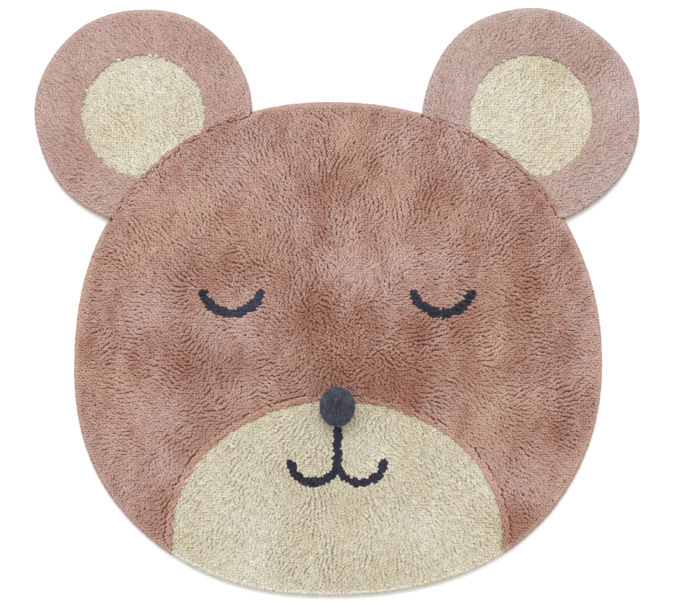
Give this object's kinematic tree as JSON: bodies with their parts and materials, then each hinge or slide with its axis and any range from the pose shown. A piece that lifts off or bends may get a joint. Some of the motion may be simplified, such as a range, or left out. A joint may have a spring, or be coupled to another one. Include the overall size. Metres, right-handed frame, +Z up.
{
  "type": "animal shaped kids rug",
  "caption": "Flat cut-pile cotton rug shaped as a bear's head, with round ears behind it, paler inner ears and muzzle, and a sewn-on wool pompom nose.",
  "frame": {"origin": "on the floor, under the middle of the rug's outline", "axes": "+Z up out of the pile, +X across the face to the viewer's right, +Y from the chin towards the ears"},
  "size_m": [1.1012, 1.0713, 0.0657],
  "materials": {
    "cotton_pile": "matt cut pile of dyed cotton yarn, rose-brown, with mauve-grey and cream fields",
    "wool_pompom": "matt clipped wool, charcoal"
  },
  "bodies": {
    "root": {"rug": "cotton_pile", "nose_pompom": "wool_pompom"}
  },
  "joints": []
}
